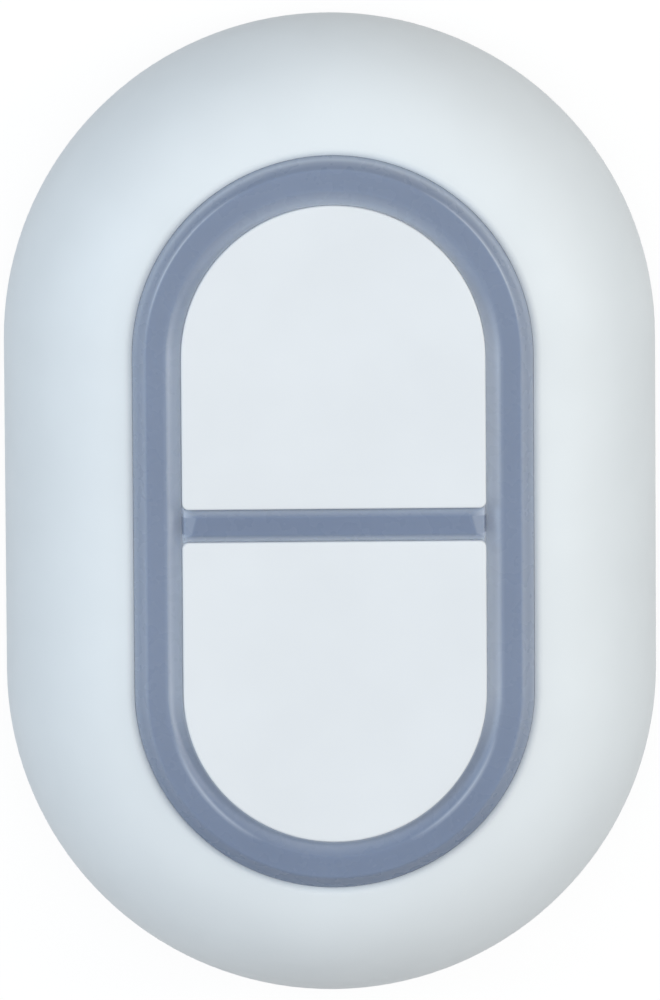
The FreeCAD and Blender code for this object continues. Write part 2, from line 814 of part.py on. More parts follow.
def lanyard_block(piece):
    """Thickens the cover's upper end and cuts the cord's tunnel, which leaves a bar."""
    wide = "size.lanyard_width / 2 + size.lanyard_wall"
    tunnel_top = "size.lanyard_bar + size.lanyard_height"
    block = piece.outline(piece.sketch("XY_Plane", "size.floor / 2"), box_path(
        f"-({wide})", wide, "level.lanyard_y - size.lanyard_wall",
        "level.half + level.lip_inner + size.lip_wall / 2"))
    piece.grow(block, f"{tunnel_top} + size.lanyard_wall / 2 - size.floor / 2")
    beyond = "level.half + size.body_radius + size.wall"
    tunnel = piece.outline(piece.sketch("YZ_Plane", "0"), [
        ("level.lanyard_y", "-size.wall"),
        ("level.lanyard_y + size.lanyard_mouth", "-size.wall"),
        ("level.lanyard_y + size.lanyard_mouth", "size.lanyard_bar"),
        (beyond, "size.lanyard_bar"),
        (beyond, tunnel_top),
        ("level.lanyard_y + size.lanyard_height", tunnel_top),
        ("level.lanyard_y", "size.lanyard_bar"),
    ])
    piece.cut(tunnel, "size.lanyard_width", middle=True)


def cover_screws(doc):
    """Two pan-head screws from the back into the front housing's bosses."""
    piece = Piece(doc, "cover_screws")
    for place in screw_places():
        head = piece.circles(
            piece.sketch("XY_Plane", "size.screw_sink"), [place], "size.screw_head")
        piece.grow(head, "size.screw_head_height")
        shank = piece.circles(
            piece.sketch("XY_Plane", "level.head_seat"), [place], "size.screw_shank")
        piece.grow(shank, "size.screw_length")
    return piece


def build(doc):
    """Builds every piece of the transmitter."""
    pieces = [front_housing(doc), light_ring(doc)]
    pieces.append(button(doc, "upper_button", False))
    pieces.append(button(doc, "lower_button", True))
    pieces += [button_membrane(doc), main_board(doc)]
    for side, y in (("upper", "level.switch_offset"), ("lower", "-level.switch_offset")):
        pieces.append(switch_base(doc, f"{side}_switch_base", y))
        pieces.append(switch_cover(doc, f"{side}_switch_cover", y))
        pieces.append(switch_plunger(doc, f"{side}_switch_plunger", y))
    pieces += [switch_leads(doc), status_leds(doc), radio_chip(doc), crystal(doc)]
    pieces += [board_passives(doc), antenna(doc), coin_cell(doc), cell_holder(doc)]
    pieces += [positive_contact(doc), negative_contact(doc), cell_pad(doc)]
    pieces += [rear_cover(doc), cover_screws(doc)]
    return pieces


def check(doc, pieces):
    """Stops if any object failed or any piece has no sound solid."""
    for item in doc.Objects:
        if "Invalid" in item.State or "Error" in item.State:
            raise ValueError(f"{item.Name} failed: {item.State}")
    for piece in pieces:
        shape = piece.body.Shape
        if shape.isNull() or not shape.isValid() or not shape.Solids:
            raise ValueError(f"{piece.body.Label} has no valid solid")


def main():
    doc = FreeCAD.newDocument("panic_button")
    make_sheet(doc)
    make_levels(doc)
    pieces = build(doc)
    doc.recompute()
    check(doc, pieces)
    os.makedirs("parts", exist_ok=True)
    for piece in pieces:
        shape = piece.body.Shape
        shape.exportStep(f"parts/{piece.body.Label}.step")
        print(piece.body.Label, len(shape.Solids), "solids,", round(shape.Volume, 2), "mm3")


main()
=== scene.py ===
import json
import math

import bmesh
import bpy
from mathutils import Matrix, Vector


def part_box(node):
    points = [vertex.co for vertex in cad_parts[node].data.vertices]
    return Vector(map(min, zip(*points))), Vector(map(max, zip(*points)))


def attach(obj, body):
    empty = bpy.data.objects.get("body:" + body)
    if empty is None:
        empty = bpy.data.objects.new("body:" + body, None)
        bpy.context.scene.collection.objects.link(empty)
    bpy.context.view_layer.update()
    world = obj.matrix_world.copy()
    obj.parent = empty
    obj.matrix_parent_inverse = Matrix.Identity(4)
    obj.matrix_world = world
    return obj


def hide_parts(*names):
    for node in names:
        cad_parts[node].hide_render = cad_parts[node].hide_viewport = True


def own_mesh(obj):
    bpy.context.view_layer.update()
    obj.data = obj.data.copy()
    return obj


# Looks of a two-button panic transmitter. Lengths in this script are in millimetres, as in
# the CAD source, and MM turns them into Blender's metres.
MM = 0.001

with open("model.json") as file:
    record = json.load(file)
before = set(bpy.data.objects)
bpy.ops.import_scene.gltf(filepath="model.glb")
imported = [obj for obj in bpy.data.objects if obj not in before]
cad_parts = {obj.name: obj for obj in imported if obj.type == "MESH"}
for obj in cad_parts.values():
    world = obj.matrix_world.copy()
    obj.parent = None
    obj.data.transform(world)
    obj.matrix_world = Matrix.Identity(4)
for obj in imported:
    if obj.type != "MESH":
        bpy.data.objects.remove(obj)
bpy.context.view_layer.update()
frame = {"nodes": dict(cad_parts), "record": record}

# The photograph's frame and the camera that took it
IMAGE_HEIGHT = 1000
PIXELS_PER_MM = 16.25
CAMERA_DISTANCE = 720.0
CAMERA_TILT = 6.9
CAMERA_SIDE = 1.0
CAMERA_ROLL = -0.36
AIM = (-0.03, 0.09, 3.9)
SENSOR = 36.0


def make_camera():
    """Looks down on the front from a little above its upper end."""
    tilt = math.radians(CAMERA_TILT)
    side = math.radians(CAMERA_SIDE)
    back = Vector((-math.sin(side), math.sin(tilt), math.cos(tilt))).normalized()
    right = Vector((0, 1, 0)).cross(back).normalized()
    up = back.cross(right)
    turn = Matrix((right, up, back)).transposed().to_4x4()
    roll = Matrix.Rotation(math.radians(CAMERA_ROLL), 4, "Z")
    place = Matrix.Translation(MM * (Vector(AIM) + CAMERA_DISTANCE * back))
    data = bpy.data.cameras.new("camera")
    data.sensor_width = SENSOR
    data.lens = SENSOR * CAMERA_DISTANCE * PIXELS_PER_MM / IMAGE_HEIGHT
    data.clip_start = 0.01
    data.clip_end = 10.0
    camera = bpy.data.objects.new("camera", data)
    camera.matrix_world = place @ turn @ roll
    bpy.context.scene.collection.objects.link(camera)
    bpy.context.scene.camera = camera


make_camera()

# Sizes read from the frame
rear_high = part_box("rear_cover")[1] / MM
ring_low, ring_high = (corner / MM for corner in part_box("light_ring"))
key_low, key_high = (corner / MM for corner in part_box("upper_button"))
screw_low, screw_high = (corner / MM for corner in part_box("cover_screws"))
sheet_low, sheet_high = (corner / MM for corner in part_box("button_membrane"))
REAR_RADIUS = rear_high.x
HALF = rear_high.y - rear_high.x
SEAT = ring_low.z
BAR_TOP = ring_high.z
RING_OUTER = ring_high.x
KEY_LOW = key_low.z
TAB_REACH = key_high.x
KEY_SIDE = key_low.y

# Front housing
BODY_RADIUS = 20.0
PARTING = 4.0
EDGE_ROUND = BODY_RADIUS - REAR_RADIUS
SEAM = 0.01
SIDE_RADIUS = 12.5
SIDE_ANGLE = 35.0
SHOULDER_RADIUS = 9.4
OPENING = RING_OUTER + SEAM
CREST_ROUND = 0.5
CREST_END = 140.0
LEDGE_INNER = 10.9
LEDGE = 1.6
WALL = 2.4
ROOF_BEVEL = 1.0
BOSS_RADIUS = 1.85
BORE_GAP = 0.05

# Light ring
RIDGE_OUTER = 11.4
RIDGE_INNER = 10.1
RIDGE_RISE = 0.95
LIP_SINK = 0.27
SHELF = 11.95
SHELF_RISE = 0.08
RING_INNER = 9.2 + SEAM
INNER_RISE = 0.45
RIDGE_ROUND = 0.22
LIP_ROUND = 0.06
# Further radii where the section gets points, so that the painted light can change there
OUTER_MARKS = (11.78, 11.58)
RIDGE_MARK = RIDGE_INNER + 0.24
CREST_FOOT = RIDGE_INNER - 0.14
SLOPE_MARK = RING_INNER + 0.45
SEAM_MARK = RING_INNER + 0.15

# Bar across the ring. The photograph shows it narrower than the CAD has it, and a little
# higher, so it is moved up by BAR_MIDDLE and the keys are GAP_CLOSER nearer to it.
BAR_RISE = 1.45
BAR_MIDDLE = 0.03
GAP_CLOSER = 0.09
GAP_HALF = KEY_SIDE - GAP_CLOSER
BAR_HALF = GAP_HALF - SEAM
BAR_BEVEL = 0.44
FACET_PLACE = (8.32, 0.39)
FACET_TURN = 15.0
FACET_SLOPE = 0.42
DROP_START = 9.08
DROP_END = 9.18
BAR_SOFT = 0.02
# How far from the middle the bar still puts painted shade on the ring's inner slope
BAR_SHADE_REACH = 2 * BAR_HALF
# How finely the bar is divided along its length and across it
FACET_LEAD = 0.4
FINE_STEP = 0.04
COARSE_STEPS = 8
WIDTH_STEPS = 20

# Painted light on the ring, as (radius, share) places across it: on its straight sides, and at
# the far ends of its upper and its lower arc. It lights the slopes and the shaded seam beside
# the buttons, the upper end more than the lower
RING_PAINTED_LIGHT = (
    (RING_INNER, 1.0),
    (SEAM_MARK, 0.68),
    (9.60, 0.52),
    (9.92, 0.62),
    (10.20, 0.0),
    (11.28, 0.0),
    (11.48, 0.27),
    (11.70, 0.12),
    (RING_OUTER, 0.36),
)
UPPER_END_PAINTED_LIGHT = (
    (RING_INNER, 1.0),
    (SEAM_MARK, 0.50),
    (9.66, 0.24),
    (10.05, 0.08),
    (10.20, 0.0),
    (OUTER_MARKS[1], 0.0),
    (OUTER_MARKS[0], 0.16),
    (SHELF, 0.50),
    (RING_OUTER, 0.14),
)
LOWER_END_PAINTED_LIGHT = (
    (RING_INNER, 1.0),
    (SEAM_MARK, 0.28),
    (SLOPE_MARK, 0.14),
    (9.96, 0.03),
    (10.24, 0.0),
    (SHELF, 0.0),
    (RING_OUTER, 0.08),
)
# Painted light everywhere except at the lower end, width of the painted light seam beside the
# buttons, how soon the inner slope reaches an end's painted light, and how much painted shade
# the bar puts on it
RING_BASE_PAINTED_LIGHT = 0.07
PAINTED_LIGHT_SEAM = 0.1
INNER_FALL = 2.4
BAR_SHADE = 0.2
# Painted highlight lines: radius, half width, share of painted light, middle and spread of the
# angle in the arc
UPPER_PAINTED_GLINT = (11.42, 0.08, 0.55, 36.0, 27.0)
LOWER_PAINTED_GLINT = (10.12, 0.13, 0.50, 39.0, 25.0)
# Painted light on the bar's bevels against the shade beside the buttons, and a painted highlight
# on its ends: how much, how soon an end reaches it, and how wide its facet is
BAR_PAINTED_LIGHT = {"upper": 0.75, "lower": 1.0, "end": 0.2}
FACET_FADE = 8
FACET_SHARE = 0.6

# Buttons
KEY_RADIUS = 9.2
KEY_TOP_RISE = 1.4
KEY_ROUND = 0.12
KEY_CORNER = 0.4
KEY_LEAST_CORNER = 0.1
UPPER_FILLET = 0.25
KEY_WALL = 1.1
KEY_ROOF = 2.0
CROWN_DROP = 0.5
TAB_LENGTH = 5.0
TAB_THICKNESS = 0.8
POST_WIDTH = 3.6
POST_WEB = 0.9
# How many loops make the crown, how far the innermost stays from the middle, and how finely
# a key's outline is divided at the bar and at its sides
CROWN_LOOPS = 16
CROWN_REST = 0.45
END_STEPS = 24
SIDE_STEPS = 12

# Membrane and its boots
SHEET_REACH = sheet_high.x
SHEET_THICKNESS = 0.4
SHEET_SOFT = 0.1
BOOT_WIDTH = 9.0
BOOT_WALL = 0.4
BOOT_CORNER = 1.0
BOOT_CORNER_STEPS = 5
BOOT_ROOF_INSET = BOOT_WALL + 0.2
# Loops of a boot's outside, as how far in from its side and how far from its foot or top
BOOT_FOOT = ((-0.35, 0), (-0.08, 0.15), (0, 0.45))
BOOT_HEAD = ((0, 0.35), (0.1, 0.1), (0.35, 0))
# Distance of the switches, the boots and the keys' posts from the middle, along the long axis
SWITCH_OFFSET = HALF - 0.6

# Rear cover, its screws and the lanyard's tunnel
BACK_BEVEL = 1.0
BACK_ROUND = 0.5
PARTING_ROUND = 0.12
FLOOR = 2.4
RIM_INNER = 16.5
TONGUE = 0.9
TONGUE_RISE = 1.2
HEAD_RADIUS = 1.8
HEAD_HEIGHT = 1.2
# Rounding of a screw's head, the rounding's middle above its top, and places on its dome
HEAD_ROUND = 0.5
HEAD_SIDE = 0.55
HEAD_DOME = ((0.6, 0), (1.0, 0.015))
HEAD_SINK = screw_low.z
SCREW_X = screw_high.x - HEAD_RADIUS
SCREW_Y = screw_high.y - HEAD_RADIUS
SCREW_TIP = screw_high.z
SHANK_RADIUS = 0.95
POINT_RADIUS = 0.3
POINT_LENGTH = 1
# The cross recess: turns of its two slots, and depth, half length and half width of each
RECESS_TURNS = (20, 110)
RECESS = ((-0.1, 1.05, 0.26), (0.75, 0.5, 0.18))
HOLE_GAP = 0.1
MOUTH_SOFT = 0.15
TUNNEL_HALF = 2.5
TUNNEL_START = HALF + 13.4
TUNNEL_MOUTH = 2.4
TUNNEL_HEIGHT = 1.3
BAR_THICKNESS = 1.3
TUNNEL_WALL = 1.6
TUNNEL_ROOF = 0.8
TUNNEL_BACKING = 0.45
# How far cutting tools reach past what they cut
PAST = 1

# Levels that follow from them
RIM = BAR_TOP - BAR_RISE
RIDGE = RIM + RIDGE_RISE
INNER_TOP = RIM + INNER_RISE
KEY_TOP = RIM + KEY_TOP_RISE
KEY_END = HALF + KEY_RADIUS

# How many steps arcs and circles have
ARC_STEPS = 72
ROUND_STEPS = 6
SIDE_ARC_STEPS = 18
SHOULDER_STEPS = 24
CIRCLE_STEPS = 48


def unit(value):
    """A value held between 0 and 1."""
    return min(max(value, 0), 1)


def arc(cx, cz, radius, start, end, steps):
    """Points on an arc, angles in degrees from +X towards +Z."""
    points = []
    for i in range(steps + 1):
        angle = math.radians(start + (end - start) * i / steps)
        points.append((cx + radius * math.cos(angle), cz + radius * math.sin(angle)))
    return points


def soften(corners):
    """Rounds the corners of a closed outline, given as (x, z, radius)."""
    points = []
    count = len(corners)
    for i, (x, z, radius) in enumerate(corners):
        here = Vector((x, z))
        before = Vector(corners[i - 1][:2]) - here
        after = Vector(corners[(i + 1) % count][:2]) - here
        if radius <= 0:
            points.append((x, z))
            continue
        before.normalize()
        after.normalize()
        half_angle = before.angle(after) / 2
        reach = radius / math.tan(half_angle)
        middle = here + (before + after).normalized() * (radius / math.sin(half_angle))
        first = here + before * reach - middle
        last = here + after * reach - middle
        for step in range(ROUND_STEPS + 1):
            share = step / ROUND_STEPS
            spoke = (first * (1 - share) + last * share).normalized() * radius
            points.append(tuple(middle + spoke))
    return points


def stadium(radius):
    """Points round a stadium about the long axis, with a few on its straight sides."""
    points = []
    for sign in (1, -1):
        for i in range(ARC_STEPS + 1):
            angle = math.pi * i / ARC_STEPS
            across, along = radius * math.cos(angle), HALF + radius * math.sin(angle)
            points.append((sign * across, sign * along))
        for share in (BAR_SHADE_REACH, BAR_HALF, -BAR_HALF, -BAR_SHADE_REACH):
            points.append((-sign * radius, sign * share))
    return points


def new_piece(name, shells, crease=40):
    """Makes one smooth-shaded object from shells of (vertices, faces) in millimetres."""
    work = bmesh.new()
    for vertices, faces in shells:
        made = [work.verts.new(Vector(v) * MM) for v in vertices]
        for face in faces:
            work.faces.new([made[i] for i in face])
    bmesh.ops.recalc_face_normals(work, faces=work.faces)
    mesh = bpy.data.meshes.new(name)
    work.to_mesh(mesh)
    work.free()
    piece = bpy.data.objects.new(name, mesh)
    bpy.context.scene.collection.objects.link(piece)
    soften_shading(piece, crease)
    return piece


def mark_painted_light(piece, shares):
    """Stores on each vertex how much painted light the plastic gets there, from 0 to 1."""
    layer = piece.data.attributes.new("painted_light", "FLOAT", "POINT")
    layer.data.foreach_set("value", shares)


def soften_shading(piece, crease=40):
    """Shades a piece smoothly, except across edges sharper than crease degrees."""
    piece.data.shade_smooth()
    piece.data.set_sharp_from_angle(angle=math.radians(crease))


def carve(piece, tool, operation="DIFFERENCE"):
    """Cuts a tool piece from a piece, or adds it, and removes the tool."""
    modifier = piece.modifiers.new("carve", "BOOLEAN")
    modifier.operation = operation
    modifier.solver = "EXACT"
    modifier.object = tool
    graph = bpy.context.evaluated_depsgraph_get()
    mesh = bpy.data.meshes.new_from_object(piece.evaluated_get(graph))
    piece.modifiers.clear()
    piece.data = mesh
    bpy.data.objects.remove(tool)
    soften_shading(piece)


def bands(loops, closed):
    """Faces between loops of equally many points, numbered in order."""
    count = len(loops[0])
    faces = []
    for row in range(len(loops) if closed else len(loops) - 1):
        low = row * count
        high = (row + 1) % len(loops) * count
        for i in range(count):
            after = (i + 1) % count
            faces.append((low + i, low + after, high + after, high + i))
    return faces


def capped(loops):
    """A closed shell of loops with a flat face at each end."""
    vertices = [point for loop in loops for point in loop]
    count = len(loops[0])
    last = len(vertices)
    faces = bands(loops, False)
    faces.append(tuple(range(count - 1, -1, -1)))
    faces.append(tuple(range(last - count, last)))
    return vertices, faces


def swept(profile, closed=True):
    """Carries a profile of (radius, height) round the stadium."""
    loops = [[(x, y, z) for x, y in stadium(radius)] for radius, z in profile]
    if closed:
        return [point for loop in loops for point in loop], bands(loops, True)
    return capped(loops)


def circles(profile, x, y):
    """One level circle round (x, y) for each (radius, height) of a profile."""
    turns = [2 * math.pi * i / CIRCLE_STEPS for i in range(CIRCLE_STEPS)]
    return [[(x + radius * math.cos(turn), y + radius * math.sin(turn), z) for turn in turns]
            for radius, z in profile]


def block(x, y, z):
    """A box between the given (low, high) pairs."""
    outline = [(x[0], y[0]), (x[1], y[0]), (x[1], y[1]), (x[0], y[1])]
    return capped([[(a, b, level) for a, b in outline] for level in z])


def housing_profile():
    """Section of the front housing's wall, with its edges rounded."""
    side_x = BODY_RADIUS - SIDE_RADIUS
    turn = math.radians(SIDE_ANGLE)
    shoulder_x = side_x + (SIDE_RADIUS - SHOULDER_RADIUS) * math.cos(turn)
    shoulder_z = PARTING + (SIDE_RADIUS - SHOULDER_RADIUS) * math.sin(turn)
    edge_x = side_x + math.sqrt((SIDE_RADIUS - EDGE_ROUND) ** 2 - EDGE_ROUND ** 2)
    edge_angle = math.degrees(math.asin(EDGE_ROUND / (SIDE_RADIUS - EDGE_ROUND)))
    crest_x = OPENING - CREST_ROUND * math.cos(math.radians(CREST_END))
    crest_reach = SHOULDER_RADIUS - CREST_ROUND
    crest_z = shoulder_z + math.sqrt(crest_reach ** 2 - (crest_x - shoulder_x) ** 2)
    crest_angle = math.degrees(math.atan2(crest_z - shoulder_z, crest_x - shoulder_x))
    inside = BODY_RADIUS - WALL
    roof = SEAT - LEDGE
    return (
        [(inside, PARTING)]
        + arc(edge_x, PARTING + EDGE_ROUND, EDGE_ROUND, -90, edge_angle, ROUND_STEPS)
        + arc(side_x, PARTING, SIDE_RADIUS, edge_angle, SIDE_ANGLE, SIDE_ARC_STEPS)[1:]
        + arc(shoulder_x, shoulder_z, SHOULDER_RADIUS, SIDE_ANGLE, crest_angle,
              SHOULDER_STEPS)[1:]
        + arc(crest_x, crest_z, CREST_ROUND, crest_angle, CREST_END, ROUND_STEPS)[1:]
        + [(OPENING, SEAT), (LEDGE_INNER, SEAT), (LEDGE_INNER, roof),
           (inside - ROOF_BEVEL, roof), (inside, roof - ROOF_BEVEL)]
    )


def on_slope(foot, crest, radius):
    """A point on the straight line from a slope's foot to its crest, both (radius, height)."""
    share = (radius - foot[0]) / (crest[0] - foot[0])
    return (radius, foot[1] + share * (crest[1] - foot[1]), 0)


def ring_profile():
    """Section of the light ring: lip, outer slope, flat ridge and inner slope."""
    outer = ((SHELF, RIM + SHELF_RISE), (RIDGE_OUTER, RIDGE))
    inner = ((RING_INNER, INNER_TOP), (RIDGE_INNER, RIDGE))
    return soften([
        (RING_OUTER, SEAT, 0),
        (RING_OUTER, RIM - LIP_SINK, LIP_ROUND),
        (SHELF, RIM + SHELF_RISE, LIP_ROUND),
        *(on_slope(*outer, radius) for radius in OUTER_MARKS),
        (RIDGE_OUTER, RIDGE, RIDGE_ROUND),
        (RIDGE_MARK, RIDGE, 0),
        (RIDGE_INNER, RIDGE, RIDGE_ROUND),
        *(on_slope(*inner, radius) for radius in (CREST_FOOT, SLOPE_MARK, SEAM_MARK)),
        (RING_INNER, INNER_TOP, LIP_ROUND),
        (RING_INNER, SEAT, 0),
    ])


def between(places, radius):
    """Reads a share from (radius, share) places, going straight from one to the next."""
    if radius <= places[0][0]:
        return places[0][1]
    for (low, low_share), (high, high_share) in zip(places, places[1:]):
        if radius <= high:
            return low_share + (radius - low) / (high - low) * (high_share - low_share)
    return places[-1][1]


def painted_glint(line, radius, x, beyond):
    """Painted highlight of a thin line at a place, beyond is how far the place lies into the
    arc.
    """
    middle, width, share, angle, spread = line
    off = (math.degrees(math.atan2(beyond, abs(x))) - angle) / spread
    return share * max(1 - abs(radius - middle) / width, 0) * max(1 - off * off, 0)


def ring_painted_light(radius, x, y):
    """Painted light on the ring: slopes lit differently along each arc, shaded beside the bar,
    and painted highlight lines added.
    """
    share = between(RING_PAINTED_LIGHT, radius)
    if radius < RING_INNER + PAINTED_LIGHT_SEAM:
        return share
    inner = radius < (RIDGE_OUTER + RIDGE_INNER) / 2
    beyond = (abs(y) - HALF) / RING_INNER
    into_arc = unit(beyond * (INNER_FALL if inner else 1))
    end = between(UPPER_END_PAINTED_LIGHT if y > 0 else LOWER_END_PAINTED_LIGHT, radius)
    if inner:
        # Painted shade on the inner slope beside the bar
        share *= 1 - BAR_SHADE * unit((BAR_SHADE_REACH - abs(y)) / BAR_HALF)
    share += into_arc * (end - share)
    share += RING_BASE_PAINTED_LIGHT * (1 if y > 0 else 1 - unit(beyond))
    share += painted_glint(UPPER_PAINTED_GLINT, radius, x, y - HALF)
    share += painted_glint(LOWER_PAINTED_GLINT, radius, x, -HALF - y)
    return min(share, 1)


def light_ring():
    """The ring, without its bar."""
    profile = ring_profile()
    ring = new_piece("ring", [swept(profile)])
    mark_painted_light(ring, [ring_painted_light(radius, x, y)
                     for radius, _ in profile for x, y in stadium(radius)])
    return ring


def soft_min(a, b):
    """The lower of two heights, rounded where they cross."""
    share = max(BAR_SOFT - abs(a - b), 0) / BAR_SOFT
    return min(a, b) - share * share * BAR_SOFT / 4


def bar_height(x, across):
    """Height of the bar's skin: flat top, bevelled sides, and a facet and a drop at each end."""
    side = BAR_TOP - max(abs(across) - (BAR_HALF - BAR_BEVEL), 0)
    turn = math.radians(FACET_TURN)
    place_x, place_across = FACET_PLACE
    out = (abs(x) - place_x) * math.cos(turn) + (across - place_across) * math.sin(turn)
    facet = BAR_TOP - FACET_SLOPE * out
    height = soft_min(soft_min(side, BAR_TOP), facet)
    drop = unit((abs(x) - DROP_START) / (DROP_END - DROP_START))
    return max(height + drop * (INNER_TOP - height), INNER_TOP)


def bar_painted_light(x, across, z):
    """Painted light on the bar: more on its bevels, against their shade, and a little on its
    ends as a painted highlight.
    """
    depth = unit((BAR_TOP - z) / BAR_BEVEL)
    facet_half = BAR_HALF * FACET_SHARE * (BAR_TOP - BAR_BEVEL - SEAT) / (BAR_TOP - SEAT)
    if abs(x) > FACET_PLACE[0] and abs(across) <= facet_half:
        return BAR_PAINTED_LIGHT["end"] * min(FACET_FADE * depth, 1)
    return BAR_PAINTED_LIGHT["upper" if across > 0 else "lower"] * depth


def bar_half(x, upper):
    """Half width of the bar at a place along it: it flares to fill the buttons' corners."""
    corner = (UPPER_FILLET if upper else KEY_CORNER) + SEAM
    into = min(max(abs(x) - (RING_INNER - corner), 0), corner)
    return BAR_HALF + corner - math.sqrt(corner * corner - into * into)


def light_bar():
    """The bar between the buttons, from one side of the ring to the other."""
    reach = (RING_INNER + RIDGE_INNER) / 2
    start = FACET_PLACE[0] - FACET_LEAD
    coarse = [start * i / COARSE_STEPS for i in range(COARSE_STEPS)]
    fine = [start + FINE_STEP * i for i in range(int((reach - start) / FINE_STEP))]
    right = coarse + fine + [reach]
    loops = []
    for x in [-x for x in reversed(right[1:])] + right:
        low, high = bar_half(x, False), bar_half(x, True)
        widths = [-low * (1 - i / WIDTH_STEPS) for i in range(WIDTH_STEPS)]
        widths += [high * i / WIDTH_STEPS for i in range(WIDTH_STEPS + 1)]
        loop = [(x, across, bar_height(x, across)) for across in widths]
        loops.append(loop + [(x, high, SEAT), (x, -low, SEAT)])
    shares = [bar_painted_light(*point) for loop in loops for point in loop]
    moved = [[(x, across + BAR_MIDDLE, z) for x, across, z in loop] for loop in loops]
    bar = new_piece("light_bar", [capped(moved)], crease=60)
    mark_painted_light(bar, shares)
    return bar


def key_outline(inset, side):
    """Half a stadium beyond the bar, moved inwards, with a small corner at each side."""
    radius = KEY_RADIUS - inset
    low = side + inset
    corner = min(max(KEY_CORNER - inset, KEY_LEAST_CORNER), (HALF - low) / 2)
    foot = low + corner
    points = [((radius - corner) * (2 * i / END_STEPS - 1), low) for i in range(END_STEPS)]
    points += arc(radius - corner, foot, corner, -90, 0, ROUND_STEPS)
    points += [(radius, foot + (HALF - foot) * i / SIDE_STEPS) for i in range(1, SIDE_STEPS)]
    points += arc(0, HALF, radius, 0, 180, ARC_STEPS)
    points += [(-radius, HALF + (foot - HALF) * i / SIDE_STEPS) for i in range(1, SIDE_STEPS)]
    points += arc(corner - radius, foot, corner, 180, 270, ROUND_STEPS)[:-1]
    return points


def crown(y):
    """Height of the buttons' crowned top at a distance from the bar."""
    return KEY_TOP - CROWN_DROP * (y / KEY_END) ** 2


def key(name, sign):
    """A button: crowned top, rounded edge, open underside and cross-shaped post."""
    rows = []
    side = GAP_HALF + sign * BAR_MIDDLE
    deepest = KEY_RADIUS - CROWN_REST
    for i in range(CROWN_LOOPS):
        inset = deepest - (deepest - KEY_ROUND) * (i / CROWN_LOOPS)
        rows.append([(x, y, crown(y)) for x, y in key_outline(inset, side)])
    for step in range(ROUND_STEPS + 1):
        angle = math.pi / 2 * step / ROUND_STEPS
        drop = KEY_ROUND * (1 - math.cos(angle))
        inset = KEY_ROUND * (1 - math.sin(angle))
        rows.append([(x, y, crown(y) - drop) for x, y in key_outline(inset, side)])
    roof = KEY_TOP - KEY_ROOF
    for inset, z in ((0, KEY_LOW), (KEY_WALL, KEY_LOW), (KEY_WALL, roof)):
        rows.append([(x, y, z) for x, y in key_outline(inset, side)])
    shells = [capped(rows)]
    root = KEY_RADIUS - KEY_WALL / 2
    levels = (KEY_LOW, KEY_LOW + TAB_THICKNESS)
    for x in ((root, TAB_REACH), (-TAB_REACH, -root)):
        shells.append(block(x, (HALF - TAB_LENGTH, HALF), levels))
    tab = (-TAB_LENGTH / 2, TAB_LENGTH / 2)
    shells.append(block(tab, (HALF + root, HALF + TAB_REACH), levels))
    boot_top = sheet_high.z
    for length, width in ((POST_WIDTH, POST_WEB), (POST_WEB, POST_WIDTH)):
        shells.append(block((-length / 2, length / 2),
                            (SWITCH_OFFSET - width / 2, SWITCH_OFFSET + width / 2),
                            (boot_top, roof + KEY_WALL / 2)))
    placed = [([(sign * x, sign * y, z) for x, y, z in vertices], faces)
              for vertices, faces in shells]
    return new_piece(name, placed)


def front_shell():
    """The front housing with the two hollow bosses that take the cover screws."""
    shells = [swept(housing_profile())]
    bore = SHANK_RADIUS + BORE_GAP
    top = SEAT - LEDGE / 2
    profile = [(BOSS_RADIUS, FLOOR), (BOSS_RADIUS, top), (bore, top), (bore, FLOOR)]
    for sign in (1, -1):
        loops = circles(profile, sign * SCREW_X, sign * SCREW_Y)
        shells.append(([point for loop in loops for point in loop], bands(loops, True)))
    return new_piece("shell", shells)


def rear_shell():
    """The rear cover: bevelled back edge, pocket, screw wells and the lanyard's tunnel."""
    edge = soften([
        (REAR_RADIUS / 2, 0, 0),
        (REAR_RADIUS - BACK_BEVEL, 0, BACK_ROUND),
        (REAR_RADIUS, BACK_BEVEL, BACK_ROUND),
        (REAR_RADIUS, PARTING, PARTING_ROUND),
        (REAR_RADIUS / 2, PARTING, 0),
    ])
    piece = new_piece("back", [swept(edge, closed=False)])
    pocket = [eight_sided(RIM_INNER, level) for level in (FLOOR, PARTING + PAST)]
    carve(piece, new_piece("pocket", [capped(pocket)]))
    top = BAR_THICKNESS + TUNNEL_HEIGHT
    wide = TUNNEL_HALF + TUNNEL_WALL
    support = block((-wide, wide),
                    (TUNNEL_START - TUNNEL_WALL, HALF + RIM_INNER + TUNNEL_BACKING),
                    (FLOOR / 2, top + TUNNEL_ROOF))
    carve(piece, new_piece("support", [support]), "UNION")
    well = HEAD_RADIUS + HOLE_GAP
    seat = HEAD_SINK + HEAD_HEIGHT
    hole = SHANK_RADIUS + HOLE_GAP
    profile = [(well + 2 * MOUTH_SOFT, -MOUTH_SOFT), (well, MOUTH_SOFT), (well, seat),
               (hole, seat), (hole, FLOOR + PAST)]
    for sign in (1, -1):
        bore = capped(circles(profile, sign * SCREW_X, sign * SCREW_Y))
        carve(piece, new_piece("well", [bore]))
    outside = HALF + BODY_RADIUS + PAST
    side = [(TUNNEL_START, -PAST), (TUNNEL_START + TUNNEL_MOUTH, -PAST),
            (TUNNEL_START + TUNNEL_MOUTH, BAR_THICKNESS), (outside, BAR_THICKNESS),
            (outside, top), (TUNNEL_START + TUNNEL_HEIGHT, top), (TUNNEL_START, BAR_THICKNESS)]
    tunnel = capped([[(x, y, z) for y, z in side] for x in (-TUNNEL_HALF, TUNNEL_HALF)])
    carve(piece, new_piece("tunnel", [tunnel]))
    tongues = []
    for x in ((RIM_INNER, RIM_INNER + TONGUE), (-RIM_INNER - TONGUE, -RIM_INNER)):
        tongues.append(block(x, (-HALF, HALF), (FLOOR, PARTING + TONGUE_RISE)))
    carve(piece, new_piece("tongues", tongues), "UNION")
    return piece


